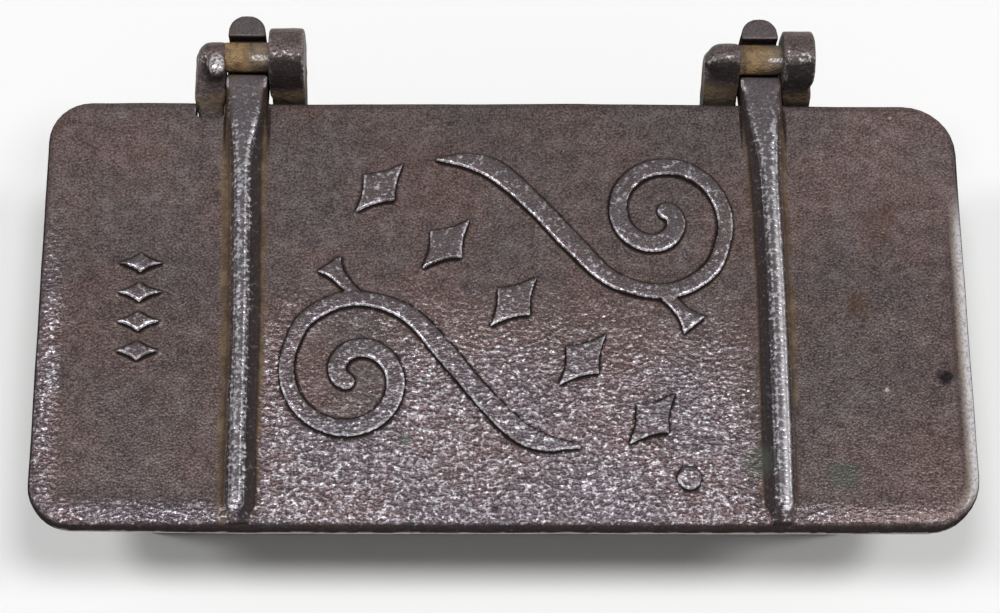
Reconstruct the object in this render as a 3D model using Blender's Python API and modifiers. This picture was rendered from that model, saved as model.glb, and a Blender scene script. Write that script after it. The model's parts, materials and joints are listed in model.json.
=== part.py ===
"""Cast iron tool box with a hook-hinged lid.

Run with blender --background --python part.py, or from Blender's text editor.
Metres, +Z up, +X along the box, -Y towards its front.
The origin is the middle of the flat underside of the box.
"""
import math

import bmesh
import bpy
from mathutils import Matrix, Vector

MM = 0.001

# Lid: a flat plate with a lip that hangs round the outside of the box's rim
LID_LENGTH = 281.6 * MM
LID_DEPTH = 136.4 * MM
LID_PLATE = 4.5 * MM
LIP_DROP = 2 * MM
LIP_WIDTH = 3.9 * MM
LID_EDGE_ROUND = 2.2 * MM
LID_CORNER_LEFT = 13 * MM
LID_CORNER_RIGHT = 16.2 * MM

# Box: a tub that narrows towards its base
BOX_HEIGHT = 80 * MM
WALL = 4.5 * MM
FLOOR = 5 * MM
FRONT_TAPER = 12 * MM
BACK_TAPER = 5 * MM
END_TAPER = 9 * MM
BOX_CORNER = 13 * MM
BASE_ROUND = 3 * MM
FLOOR_ROUND = 5 * MM

# Hinges: a bar between two ears, hooked from below by an arm of the lid
HINGE_INSET_LEFT = 61.5 * MM
HINGE_INSET_RIGHT = 60.1 * MM
AXIS_SETBACK = 13.3 * MM
AXIS_RISE = 3 * MM
PIN_RADIUS = 4.7 * MM
TENON_RADIUS = 2.6 * MM
TENON_LENGTH = 5 * MM
HOOK_WIDTH = 12.8 * MM
HOOK_THICKNESS = 7 * MM
HOOK_TAIL_WIDTH = 11.4 * MM
HOOK_TAIL_RISE = 3.5 * MM
HOOK_TAIL_ROUND = 5.4 * MM
PLAIN_EAR_COVER = 0.5 * MM
PLAIN_EAR_ROUND = 4 * MM
LOBED_EAR_COVER = 4.4 * MM
LOBED_EAR_ROUND = 2 * MM
EAR_FOOT = 32 * MM
LEFT_HINGE_PLAIN_EAR = 8.2 * MM
LEFT_HINGE_LOBED_EAR = 9.9 * MM
RIGHT_HINGE_PLAIN_EAR = 10.3 * MM
RIGHT_HINGE_LOBED_EAR = 8.2 * MM
NOTCH_DEPTH = 5.4 * MM
NOTCH_ROUND = 1.5 * MM

# Clearances
SEAT_GAP = 0.3 * MM
FIT_GAP = 0.3 * MM
PIN_GAP = 1 * MM
SIDE_GAP = 1.2 * MM
NOTCH_GAP = 0.3 * MM
EAR_LID_GAP = 0.8 * MM
LIP_GAP_SIDE = 3.1 * MM
LIP_GAP_END = 5.1 * MM

# Ribs: flank points are shares of the fillet's width, out from the flat top, and of the height
RIB_HEIGHT = 3.5 * MM
RIB_HALF_TOP = 2.3 * MM
RIB_FILLET = 4.2 * MM
RIB_FLANK = ((1, 0), (0.64, 0.13), (0.33, 0.5), (0.08, 0.9))
RIB_TOP_FLAT = 0.82
RIB_FRONT_INSET = 1.5 * MM
RIB_FRONT_RAMP = 5.5 * MM
RIB_BACK_INSET = 1 * MM
RIB_FLARE = 50 * MM
RIB_FLARE_CURVE = 4.5
RIB_SHOULDER = 0.9 * MM

# Raised ornament, drawn in millimetres from the middle of a lid and panel of these sizes
ORNAMENT_LID_DEPTH = 136.4 * MM
ORNAMENT_PANEL = 160 * MM
RELIEF = 1.8 * MM
RELIEF_ROOT = 1 * MM
FISHTAIL_DROP = 0.1 * MM
UPPER_SCROLL = (1.3, 3.5, 0)
LOWER_SCROLL = (2.2, 2.3, 177.2)
STEM = (
    (-22.3, 44.8, 1.0), (-17.3, 44.6, 2.8), (-11.4, 44.1, 5.2), (-2.9, 40.4, 6.6), (9.2, 28.9, 6.0),
    (19.3, 17.5, 6.2), (30.3, 6.4, 5.2), (42.0, 2.1, 4.6), (52.5, 3.0, 4.8), (62.0, 9.6, 4.8),
)
FISHTAIL = ((46.0, 1.6, 3.4), (50.4, -2.6, 3.7), (53.4, -6.0, 5.0), (55.9, -9.0, 8.8))
VOLUTE_CENTRE = Vector((46.1, 26.2))
VOLUTE_OUTER = 20.9
VOLUTE_EYE = 2.9
VOLUTE_START = -18
VOLUTE_SWEEP = 418
VOLUTE_WIDTHS = (4.6, 5.4, 5.8, 5.4)
LOZENGE_COUNT = 5
LOZENGE_FIRST = Vector((-38.2, 38.8))
LOZENGE_LAST = Vector((43.7, -34.9))
LOZENGE_HALF_SIZE = (6.6, 11)
LOZENGE_HOLLOW = 0.16
BEAD_PLACE = Vector((54.2, -53))
BEAD_RADIUS = 3.6
SMALL_COUNT = 4
SMALL_STEP = 9.3
SMALL_HALF_SIZE = (6.8, 3.2)

# Fineness of the round stretches
CORNER_STEPS = 8
ROUND_STEPS = 3
FLARE_STEPS = 7
ARC_STEPS = 16
PIN_STEPS = 40
SPLINE_STEPS = 5
VOLUTE_STEPS = 44
WELD = 0.001 * MM
FLAT = math.radians(0.05)

# Places worked out from the sizes above
OVERHANG_SIDE = LIP_WIDTH + LIP_GAP_SIDE
OVERHANG_END = LIP_WIDTH + LIP_GAP_END
RIM_LENGTH = LID_LENGTH - 2 * OVERHANG_END
RIM_DEPTH = LID_DEPTH - 2 * OVERHANG_SIDE
LID_Y = (BACK_TAPER - FRONT_TAPER) / 2
LID_BACK = LID_Y + LID_DEPTH / 2
LID_FRONT = LID_Y - LID_DEPTH / 2
LID_UNDER = BOX_HEIGHT + SEAT_GAP
LID_TOP = LID_UNDER + LID_PLATE
LIP_BOTTOM = LID_UNDER - LIP_DROP
RIB_TOP = LID_TOP + RIB_HEIGHT
BELOW_LID = LIP_BOTTOM - LID_PLATE
LEFT_HINGE_X = HINGE_INSET_LEFT - LID_LENGTH / 2
RIGHT_HINGE_X = LID_LENGTH / 2 - HINGE_INSET_RIGHT
AXIS_Y = LID_BACK + AXIS_SETBACK
AXIS_Z = LID_TOP + AXIS_RISE
AXIS = (AXIS_Y, AXIS_Z)
EAR_GAP = HOOK_WIDTH + 2 * SIDE_GAP
HOOK_INNER = PIN_RADIUS + PIN_GAP
HOOK_OUTER = HOOK_INNER + HOOK_THICKNESS
ORNAMENT_SCALE = MM * min(LID_DEPTH / ORNAMENT_LID_DEPTH, (RIGHT_HINGE_X - LEFT_HINGE_X) / ORNAMENT_PANEL)
SIDE_VIEW = Matrix(((0, 0, 1, 0), (1, 0, 0, 0), (0, 1, 0, 0), (0, 0, 0, 1)))


def clear_scene():
    for thing in list(bpy.data.objects):
        bpy.data.objects.remove(thing, do_unlink=True)


def new_collection(name):
    collection = bpy.data.collections.new(name)
    bpy.context.scene.collection.children.link(collection)
    return collection


def new_material(name, colour, roughness, metallic):
    material = bpy.data.materials.new(name)
    material.use_nodes = True
    shader = material.node_tree.nodes["Principled BSDF"]
    shader.inputs["Base Color"].default_value = (*colour, 1)
    shader.inputs["Roughness"].default_value = roughness
    shader.inputs["Metallic"].default_value = metallic
    material.diffuse_color = (*colour, 1)
    return material


def add_object(name, mesh, collection):
    thing = bpy.data.objects.new(name, mesh)
    collection.objects.link(thing)
    return thing


def as_cutter(thing):
    thing.hide_render = True
    thing.display_type = 'WIRE'
    return thing


def combine(target, operation, other):
    modifier = target.modifiers.new(f"{operation.lower()} {other.name}", 'BOOLEAN')
    modifier.operation = operation
    modifier.solver = 'EXACT'
    modifier.object = other


def prism(name, outline, low, high, collection, turn=None):
    """A flat outline given a thickness, from low to high along its own third axis."""
    curve = bpy.data.curves.new(name, 'CURVE')
    curve.dimensions = '2D'
    curve.fill_mode = 'BOTH'
    curve.extrude = (high - low) / 2
    spline = curve.splines.new('POLY')
    spline.points.add(len(outline) - 1)
    for point, (across, along) in zip(spline.points, outline):
        point.co = (across, along, 0, 1)
    spline.use_cyclic_u = True
    flat = add_object(name + " outline", curve, collection)
    bpy.context.view_layer.update()
    evaluated = flat.evaluated_get(bpy.context.evaluated_depsgraph_get())
    mesh = bpy.data.meshes.new_from_object(evaluated)
    bpy.data.objects.remove(flat, do_unlink=True)
    bm = bmesh.new()
    bm.from_mesh(mesh)
    bmesh.ops.remove_doubles(bm, verts=bm.verts, dist=WELD)
    bmesh.ops.translate(bm, verts=bm.verts, vec=(0, 0, (high + low) / 2))
    bmesh.ops.recalc_face_normals(bm, faces=bm.faces)
    bmesh.ops.dissolve_limit(bm, angle_limit=FLAT, verts=bm.verts, edges=bm.edges)
    bm.to_mesh(mesh)
    bm.free()
    mesh.name = name
    if turn:
        mesh.transform(turn)
    return add_object(name, mesh, collection)


def loft(name, rings, collection):
    """A closed solid through rings of points that all have the same count."""
    bm = bmesh.new()
    loops = [[bm.verts.new(point) for point in ring] for ring in rings]
    count = len(rings[0])
    for lower, upper in zip(loops, loops[1:]):
        for here in range(count):
            after = (here + 1) % count
            bm.faces.new((lower[here], lower[after], upper[after], upper[here]))
    bm.faces.new(loops[0][::-1])
    bm.faces.new(loops[-1])
    bmesh.ops.recalc_face_normals(bm, faces=bm.faces)
    mesh = bpy.data.meshes.new(name)
    bm.to_mesh(mesh)
    bm.free()
    return add_object(name, mesh, collection)


def arc(centre, radius, start, end, steps=ARC_STEPS):
    angles = [math.radians(start + (end - start) * step / steps) for step in range(steps + 1)]
    return [(centre[0] + radius * math.cos(a), centre[1] + radius * math.sin(a)) for a in angles]


def circle(centre, radius):
    return arc(centre, radius, 0, 360)[:-1]


def rounded_rectangle(left, right, front, back, radii):
    """Outline with a radius of its own, or 0, at back right, back left, front left and front right."""
    corners = ((right, back, -1, -1), (left, back, 1, -1), (left, front, 1, 1), (right, front, -1, 1))
    outline = []
    for quarter, ((x, y, turn_x, turn_y), radius) in enumerate(zip(corners, radii)):
        centre = (x + turn_x * radius, y + turn_y * radius)
        outline += arc(centre, radius, 90 * quarter, 90 * quarter + 90, CORNER_STEPS) if radius else [(x, y)]
    return outline


def smooth_line(knots):
    """Catmull-Rom line through knots of place and width."""
    line = []
    for index in range(len(knots) - 1):
        before = knots[max(index - 1, 0)]
        start = knots[index]
        end = knots[index + 1]
        after = knots[min(index + 2, len(knots) - 1)]
        for step in range(SPLINE_STEPS):
            t = step / SPLINE_STEPS
            line.append(0.5 * (2 * start + (end - before) * t
                               + (2 * before - 5 * start + 4 * end - after) * t ** 2
                               + (3 * start - 3 * end + after - before) * t ** 3))
    return line + [knots[-1]]


def band_outline(line, round_end):
    """Outline of a band that follows a line of place and width."""
    left = []
    right = []
    for index, knot in enumerate(line):
        before = line[max(index - 1, 0)]
        after = line[min(index + 1, len(line) - 1)]
        heading = (after.xy - before.xy).normalized()
        side = Vector((-heading.y, heading.x)) * knot.z / 2
        left.append(knot.xy + side)
        right.append(knot.xy - side)
    cap = []
    if round_end:
        ahead = math.degrees(math.atan2(heading.y, heading.x))
        rim = arc(line[-1].xy, line[-1].z / 2, ahead - 90, ahead + 90, CORNER_STEPS)
        cap = [Vector(point) for point in rim[1:-1]]
    return right + cap + left[::-1]


def volute_line():
    """Even spiral of place and width, from the outside turn in to the eye."""
    line = []
    for step in range(VOLUTE_STEPS + 1):
        share = step / VOLUTE_STEPS
        angle = math.radians(VOLUTE_START + VOLUTE_SWEEP * share)
        radius = VOLUTE_OUTER + (VOLUTE_EYE - VOLUTE_OUTER) * share
        place = VOLUTE_CENTRE + radius * Vector((math.cos(angle), math.sin(angle)))
        stretch = share * (len(VOLUTE_WIDTHS) - 1)
        index = min(int(stretch), len(VOLUTE_WIDTHS) - 2)
        width = VOLUTE_WIDTHS[index] + (VOLUTE_WIDTHS[index + 1] - VOLUTE_WIDTHS[index]) * (stretch - index)
        line.append(Vector((*place, width)))
    return line


def tub_ring(height, inset):
    """Outline of the box at a height, drawn in by an inset."""
    drop = (BOX_HEIGHT - height) / BOX_HEIGHT
    half_length = RIM_LENGTH / 2 - END_TAPER * drop - inset
    front = LID_Y - RIM_DEPTH / 2 + FRONT_TAPER * drop + inset
    radius = max(BOX_CORNER - inset, WALL / 2)
    outline = rounded_rectangle(-half_length, half_length, front, back_wall(height) - inset, [radius] * 4)
    return [(x, y, height) for x, y in outline]


def rounded_foot(base, radius, inset):
    """Rings that round the lower edge of a tub surface."""
    rings = []
    for step in range(ROUND_STEPS + 1):
        angle = math.radians(90 * step / ROUND_STEPS)
        height = base + radius * (1 - math.cos(angle))
        rings.append(tub_ring(height, inset + radius * (1 - math.sin(angle))))
    return rings


def back_wall(height):
    """How far back the outside of the box reaches at a height."""
    return LID_Y + RIM_DEPTH / 2 - BACK_TAPER * (BOX_HEIGHT - height) / BOX_HEIGHT


def tangent_angle(point, radius, side):
    """Where a line from a point touches a circle round the hinge axis, in degrees."""
    across = point[0] - AXIS_Y
    up = point[1] - AXIS_Z
    return math.degrees(math.atan2(up, across) + side * math.acos(radius / math.hypot(across, up))) % 360


def hinge_ear(name, inner, outer, cover, corners, knee, cutters):
    """Bracket from the back wall, past a knee behind the lid, to a rounded end about the hinge axis."""
    radius = PIN_RADIUS + cover
    foot = knee[1] - EAR_FOOT
    heel = (back_wall(foot), foot)
    profile = [(back_wall(knee[1]) - WALL / 2, knee[1]), (heel[0] - WALL / 2, foot), heel]
    profile += arc(AXIS, radius, tangent_angle(heel, radius, 1) - 360, tangent_angle(knee, radius, -1))
    profile.append(knee)
    low, high = sorted((inner, outer))
    ear = prism(f"{name} ear", profile, low, high, cutters, SIDE_VIEW)
    plan = rounded_rectangle(low, high, LID_Y, AXIS_Y + radius, [*corners, 0, 0])
    combine(ear, 'INTERSECT', as_cutter(prism(f"{name} ear plan", plan, 0, AXIS_Z + 2 * radius, cutters)))
    return as_cutter(ear)


def pin_socket(name, inner, outer, cutters):
    """Blind hole in an ear for the thin end of the pin."""
    side = math.copysign(1, outer - inner)
    low, high = sorted((inner - side * SIDE_GAP, inner + side * (TENON_LENGTH + FIT_GAP)))
    hole = prism(f"{name} socket", circle(AXIS, TENON_RADIUS + FIT_GAP), low, high, cutters, SIDE_VIEW)
    return as_cutter(hole)


def build_box(parts, cutters, material):
    box = loft("box", rounded_foot(0, BASE_ROUND, 0) + [tub_ring(BOX_HEIGHT, 0)], parts)
    inside = rounded_foot(FLOOR, FLOOR_ROUND, WALL) + [tub_ring(BOX_HEIGHT + FLOOR, WALL)]
    behind_lid = (LID_BACK + EAR_LID_GAP, LIP_BOTTOM - EAR_LID_GAP)
    in_notch = (LID_BACK - NOTCH_DEPTH + NOTCH_GAP, BOX_HEIGHT)
    plain_round = (LOBED_EAR_ROUND, PLAIN_EAR_ROUND)
    lobed_round = (LOBED_EAR_ROUND, LOBED_EAR_ROUND)
    rows = (
        ("left plain", LEFT_HINGE_X, -1, LEFT_HINGE_PLAIN_EAR, PLAIN_EAR_COVER, plain_round, in_notch),
        ("left lobed", LEFT_HINGE_X, 1, LEFT_HINGE_LOBED_EAR, LOBED_EAR_COVER, lobed_round, behind_lid),
        ("right plain", RIGHT_HINGE_X, -1, RIGHT_HINGE_PLAIN_EAR, PLAIN_EAR_COVER, plain_round, behind_lid),
        ("right lobed", RIGHT_HINGE_X, 1, RIGHT_HINGE_LOBED_EAR, LOBED_EAR_COVER, lobed_round, behind_lid),
    )
    for name, hinge_x, side, width, cover, corners, knee in rows:
        inner = hinge_x + side * EAR_GAP / 2
        outer = inner + side * width
        ear = hinge_ear(name, inner, outer, cover, corners, knee, cutters)
        combine(ear, 'DIFFERENCE', pin_socket(name, inner, outer, cutters))
        combine(box, 'UNION', ear)
    combine(box, 'DIFFERENCE', as_cutter(loft("box inside", inside, cutters)))
    box.data.materials.append(material)


def lid_ring(height, inset):
    """Outline of the lid at a height, drawn in by an inset."""
    radii = [LID_CORNER_RIGHT, LID_CORNER_LEFT, LID_CORNER_LEFT, LID_CORNER_RIGHT]
    outline = rounded_rectangle(inset - LID_LENGTH / 2, LID_LENGTH / 2 - inset,
                                LID_FRONT + inset, LID_BACK - inset, [r - inset for r in radii])
    return [(x, y, height) for x, y in outline]


def build_rib(name, hinge_x, cutters):
    """Rib with a flat top and long flanks, which ramps down at the front and flares out to the hook."""
    front = LID_FRONT + RIB_FRONT_INSET
    back = LID_BACK - RIB_BACK_INSET
    widening = HOOK_WIDTH / 2 - RIB_SHOULDER - RIB_HALF_TOP
    stations = [
        (front, RIB_HEIGHT / 10, RIB_HALF_TOP, RIB_FILLET / 4),
        (front + RIB_FRONT_RAMP, RIB_HEIGHT, RIB_HALF_TOP, RIB_FILLET),
    ]
    for step in range(FLARE_STEPS + 1):
        share = step / FLARE_STEPS
        half_top = RIB_HALF_TOP + widening * share ** RIB_FLARE_CURVE
        fillet = RIB_FILLET * (1 - share ** RIB_FLARE_CURVE / 2)
        stations.append((back - RIB_FLARE * (1 - share), RIB_HEIGHT, half_top, fillet))
    rings = []
    for y, height, half_top, fillet in stations:
        half = [(half_top + fillet, -LID_PLATE / 2)]
        half += [(half_top + out * fillet, up * height) for out, up in RIB_FLANK]
        half += [(RIB_TOP_FLAT * half_top, height)]
        right = [(hinge_x + x, y, LID_TOP + z) for x, z in half]
        left = [(hinge_x - x, y, LID_TOP + z) for x, z in reversed(half)]
        rings.append(right + left)
    return as_cutter(loft(f"{name} rib", rings, cutters))


def build_hook(name, hinge_x, cutters):
    """Arm that runs back from the rib, under the bar and up behind it."""
    root = LID_BACK - LIP_WIDTH + EAR_LID_GAP
    arm_end = math.degrees(math.asin((RIB_TOP - AXIS_Z) / HOOK_INNER))
    profile = [(root, LIP_BOTTOM), (root, RIB_TOP)]
    profile += arc(AXIS, HOOK_INNER, 180 - arm_end, 360)
    tail_top = AXIS_Z + HOOK_TAIL_RISE
    profile += [(AXIS_Y + HOOK_INNER, tail_top), (AXIS_Y + HOOK_OUTER, tail_top)]
    profile += arc(AXIS, HOOK_OUTER, 0, -90)
    profile.append((LID_BACK, LIP_BOTTOM))
    left = hinge_x - HOOK_WIDTH / 2
    right = hinge_x + HOOK_WIDTH / 2
    hook = prism(f"{name} hook", profile, left, right, cutters, SIDE_VIEW)
    half_tail = HOOK_TAIL_WIDTH / 2
    tail_round = min(HOOK_TAIL_ROUND, half_tail)
    tail = rounded_rectangle(hinge_x - half_tail, hinge_x + half_tail, AXIS_Y, AXIS_Y + HOOK_OUTER,
                             [tail_round, tail_round, 0, 0])
    plan = tail[:-2] + [(left, AXIS_Y), (left, LID_Y), (right, LID_Y), (right, AXIS_Y)]
    combine(hook, 'INTERSECT', as_cutter(prism(f"{name} hook plan", plan, 0, AXIS_Z + HOOK_OUTER, cutters)))
    return as_cutter(hook)


def lozenge(half_size):
    """Four-pointed outline with hollowed sides."""
    wide, high = half_size
    tips = [Vector((wide, 0)), Vector((0, high)), Vector((-wide, 0)), Vector((0, -high))]
    outline = []
    for here, after in zip(tips, tips[1:] + tips[:1]):
        for step in range(SPLINE_STEPS):
            share = step / SPLINE_STEPS
            outline.append(here.lerp(after, share) * (1 - 4 * LOZENGE_HOLLOW * share * (1 - share)))
    return outline


def turned(outline, degrees, place):
    turn = Matrix.Rotation(math.radians(degrees), 2)
    return [turn @ point + place for point in outline]


def ornament_outlines():
    """Scrolls, a diagonal row of lozenges with an end bead, and a column of small lozenges, by name."""
    spiral = volute_line()
    band = band_outline(smooth_line([Vector(knot) for knot in STEM] + spiral[:1])[:-1] + spiral, True)
    fishtail = band_outline(smooth_line([Vector(knot) for knot in FISHTAIL]), False)
    outlines = {}
    for name, (x, y, degrees) in (("upper", UPPER_SCROLL), ("lower", LOWER_SCROLL)):
        outlines[f"{name} scroll"] = turned(band, degrees, Vector((x, y)))
        outlines[f"{name} fishtail"] = turned(fishtail, degrees, Vector((x, y)))
    row = LOZENGE_LAST - LOZENGE_FIRST
    slope = math.degrees(math.atan2(row.y, row.x))
    for index in range(LOZENGE_COUNT):
        place = LOZENGE_FIRST + row * index / (LOZENGE_COUNT - 1)
        outlines[f"lozenge {index + 1}"] = turned(lozenge(LOZENGE_HALF_SIZE), slope, place)
    outlines["bead"] = [Vector(point) for point in circle(BEAD_PLACE, BEAD_RADIUS)]
    column_x = (LEFT_HINGE_X - LID_LENGTH / 2) / 2 / ORNAMENT_SCALE
    for index in range(SMALL_COUNT):
        place = Vector((column_x, SMALL_STEP * (index - (SMALL_COUNT - 1) / 2)))
        outlines[f"small lozenge {index + 1}"] = turned(lozenge(SMALL_HALF_SIZE), 0, place)
    return outlines


def build_ornament(cutters):
    pieces = []
    for name, outline in ornament_outlines().items():
        placed = [point * ORNAMENT_SCALE + Vector((0, LID_Y)) for point in outline]
        top = LID_TOP + RELIEF - (FISHTAIL_DROP if "fishtail" in name else 0)
        pieces.append(as_cutter(prism(name, placed, LID_TOP - RELIEF_ROOT, top, cutters)))
    return pieces


def build_lid(parts, cutters, material):
    rings = [lid_ring(LIP_BOTTOM, 0)]
    for step in range(ROUND_STEPS + 1):
        angle = math.radians(90 * step / ROUND_STEPS)
        height = LID_TOP - LID_EDGE_ROUND * (1 - math.sin(angle))
        rings.append(lid_ring(height, LID_EDGE_ROUND * (1 - math.cos(angle))))
    lid = loft("lid", rings, parts)
    recess = loft("lid recess", [lid_ring(BELOW_LID, LIP_WIDTH), lid_ring(LID_UNDER, LIP_WIDTH)], cutters)
    combine(lid, 'DIFFERENCE', as_cutter(recess))
    for name, hinge_x in (("left", LEFT_HINGE_X), ("right", RIGHT_HINGE_X)):
        combine(lid, 'UNION', build_rib(name, hinge_x, cutters))
        combine(lid, 'UNION', build_hook(name, hinge_x, cutters))
    right = LEFT_HINGE_X - EAR_GAP / 2 + NOTCH_GAP
    left = right - LEFT_HINGE_PLAIN_EAR - 2 * NOTCH_GAP
    behind = LID_BACK + NOTCH_DEPTH
    notch = rounded_rectangle(left, right, LID_BACK - NOTCH_DEPTH, behind, [0, 0, NOTCH_ROUND, NOTCH_ROUND])
    lip_gap = rounded_rectangle(left, right, LID_BACK - LIP_WIDTH - NOTCH_GAP, behind, [0] * 4)
    combine(lid, 'DIFFERENCE', as_cutter(prism("lid notch", notch, BELOW_LID, RIB_TOP, cutters)))
    combine(lid, 'DIFFERENCE', as_cutter(prism("lip gap", lip_gap, BELOW_LID, LID_UNDER, cutters)))
    for piece in build_ornament(cutters):
        combine(lid, 'UNION', piece)
    lid.data.materials.append(material)
    return lid


def hang_on_axis(lid):
    """Puts the lid under an empty on the hinge axis."""
    axis = bpy.data.objects.new("lid hinge axis", None)
    axis.location = (0, AXIS_Y, AXIS_Z)
    axis.empty_display_size = HOOK_WIDTH
    lid.users_collection[0].objects.link(axis)
    lid.parent = axis
    lid.matrix_parent_inverse = Matrix.Translation(axis.location).inverted()


def build_pin(name, hinge_x, parts, material):
    """Turned bar with a thinner end that sits in each ear."""
    half = EAR_GAP / 2 - FIT_GAP
    end = EAR_GAP / 2 + TENON_LENGTH
    profile = [(-end, 0), (-end, TENON_RADIUS), (-half, TENON_RADIUS), (-half, PIN_RADIUS),
               (half, PIN_RADIUS), (half, TENON_RADIUS), (end, TENON_RADIUS), (end, 0)]
    edges = [(index, index + 1) for index in range(len(profile) - 1)]
    mesh = bpy.data.meshes.new(name)
    mesh.from_pydata([(x, 0, radius) for x, radius in profile], edges, [])
    pin = add_object(name, mesh, parts)
    pin.location = (hinge_x, AXIS_Y, AXIS_Z)
    screw = pin.modifiers.new("turned", 'SCREW')
    screw.axis = 'X'
    screw.steps = PIN_STEPS
    screw.render_steps = PIN_STEPS
    screw.use_merge_vertices = True
    screw.merge_threshold = WELD
    screw.use_normal_calculate = True
    screw.use_normal_flip = True
    mesh.materials.append(material)


def main():
    clear_scene()
    parts = new_collection("cast iron tool box")
    cutters = new_collection("cutters")
    box_iron = new_material("box iron", (0.055, 0.046, 0.043), 0.55, 0.75)
    lid_iron = new_material("lid iron", (0.065, 0.052, 0.05), 0.48, 0.8)
    left_pin_iron = new_material("left pin iron", (0.2, 0.11, 0.045), 0.7, 0.35)
    right_pin_iron = new_material("right pin iron", (0.17, 0.1, 0.045), 0.7, 0.35)
    build_box(parts, cutters, box_iron)
    hang_on_axis(build_lid(parts, cutters, lid_iron))
    build_pin("left_hinge_pin", LEFT_HINGE_X, parts, left_pin_iron)
    build_pin("right_hinge_pin", RIGHT_HINGE_X, parts, right_pin_iron)


if __name__ == "__main__":
    main()
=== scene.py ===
"""Looks of a cast iron tool box: sand-cast skins, hinge bars, stage and camera."""

import json
import math

import bmesh
import bpy
import numpy as np
from bpy.props import FloatProperty, FloatVectorProperty, IntProperty, PointerProperty
from mathutils import Matrix, Vector


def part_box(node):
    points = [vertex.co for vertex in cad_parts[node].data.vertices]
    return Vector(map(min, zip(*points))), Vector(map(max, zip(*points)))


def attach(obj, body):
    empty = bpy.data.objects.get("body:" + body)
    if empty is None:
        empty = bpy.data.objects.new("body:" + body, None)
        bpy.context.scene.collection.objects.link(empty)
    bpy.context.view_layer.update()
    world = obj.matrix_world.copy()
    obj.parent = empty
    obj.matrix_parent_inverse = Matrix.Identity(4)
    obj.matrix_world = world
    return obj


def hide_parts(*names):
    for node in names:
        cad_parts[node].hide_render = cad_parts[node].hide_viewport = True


bl_info = {
    "name": "Cast Iron Tool Box",
    "version": (1, 0, 0),
    "blender": (4, 5, 0),
    "location": "View3D > Sidebar > Tool Box",
    "description": "Dresses the packed tool box with worn, sand-cast iron and sets the stage",
    "category": "Object",
}

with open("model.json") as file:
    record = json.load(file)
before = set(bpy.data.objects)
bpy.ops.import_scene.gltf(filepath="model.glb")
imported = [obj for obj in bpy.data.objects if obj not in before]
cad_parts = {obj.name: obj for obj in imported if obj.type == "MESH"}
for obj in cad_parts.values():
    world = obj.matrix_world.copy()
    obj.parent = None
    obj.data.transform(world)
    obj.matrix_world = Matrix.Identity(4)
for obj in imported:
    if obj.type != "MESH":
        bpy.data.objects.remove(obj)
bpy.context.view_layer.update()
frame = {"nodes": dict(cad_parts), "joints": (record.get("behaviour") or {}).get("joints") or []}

MM = 0.001
BOX_LOW, BOX_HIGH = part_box("box")
LEFT_BAR = sum(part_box("left_hinge_pin"), Vector()) / 2
RIGHT_BAR = sum(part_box("right_hinge_pin"), Vector()) / 2
AXIS = Vector(frame["joints"][0]["pos_m"])

# Levels of the lid and the box, as the part's source gives them
LID_TOP = 84.8 * MM
LID_UNDER = 80.3 * MM
LID_FRONT = -71.7 * MM
LID_BACK = 64.7 * MM
LID_SIDE = 140.8 * MM
LID_MIDDLE_Y = (LID_FRONT + LID_BACK) / 2
LEFT_CORNER = 13 * MM
RIGHT_CORNER = 16.2 * MM
RIB_TOP = 88.3 * MM
ARM_HALF = 6.4 * MM
EAR_INNER = 7.6 * MM
EAR_WIDTH = 8.2 * MM
RIM = 80 * MM

# How far the ribs and arms sway sideways: place from front to back and shift, in millimetres
LEFT_SWAY = ((-70, 1.2), (-2, 0.9), (56, -0.5), (92, -0.5))
RIGHT_SWAY = ((-60, 0.3), (0, 0.8), (30, 0.4), (65, -0.4), (85, -0.7))

# Bar, side and shift of each ear towards its arm, in millimetres
EAR_SHIFTS = ((LEFT_BAR, -1, 0.6), (LEFT_BAR, 1, 1.1), (RIGHT_BAR, -1, 0.5), (RIGHT_BAR, 1, 1.6))

# Outer side, width, radius of the top and sink of each plain ear, in millimetres
PLAIN_EARS = ((-95.1, 8.2, 4.4, 0.4), (62.8, 10.3, 5.4, 0))


# Mesh helpers

def node_copy(name, node):
    """A new object with a welded copy of a CAD node's mesh."""
    mesh = frame["nodes"][node].data.copy()
    mesh.name = name
    mesh.materials.clear()
    bm = bmesh.new()
    bm.from_mesh(mesh)
    bmesh.ops.remove_doubles(bm, verts=bm.verts, dist=0.001 * MM)
    bm.to_mesh(mesh)
    bm.free()
    thing = bpy.data.objects.new(name, mesh)
    bpy.context.scene.collection.objects.link(thing)
    return thing


def settle(thing):
    """Applies all modifiers of an object to its mesh."""
    bpy.context.view_layer.update()
    evaluated = thing.evaluated_get(bpy.context.evaluated_depsgraph_get())
    mesh = bpy.data.meshes.new_from_object(evaluated)
    thing.modifiers.clear()
    old = thing.data
    name = old.name
    thing.data = mesh
    bpy.data.meshes.remove(old)
    mesh.name = name


def sand_cast_skin(thing, voxel, passes):
    """Turns a crisp mesh into an even skin with softened edges."""
    remesh = thing.modifiers.new("cast skin", 'REMESH')
    remesh.mode = 'VOXEL'
    remesh.voxel_size = voxel
    soften = thing.modifiers.new("softened edges", 'SMOOTH')
    soften.factor = 0.5
    soften.iterations = passes
    settle(thing)


def points_of(mesh):
    points = np.empty(len(mesh.vertices) * 3, np.float32)
    mesh.vertices.foreach_get("co", points)
    return points.reshape(-1, 3).astype(float)


def put_points(mesh, points):
    mesh.vertices.foreach_set("co", points.astype(np.float32).ravel())
    mesh.update()


def normals_of(mesh):
    normals = np.empty(len(mesh.vertices) * 3, np.float32)
    mesh.vertex_normals.foreach_get("vector", normals)
    return normals.reshape(-1, 3).astype(float)


def edges_of(mesh):
    edges = np.empty(len(mesh.edges) * 2, np.int32)
    mesh.edges.foreach_get("vertices", edges)
    return edges.reshape(-1, 2)


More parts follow.
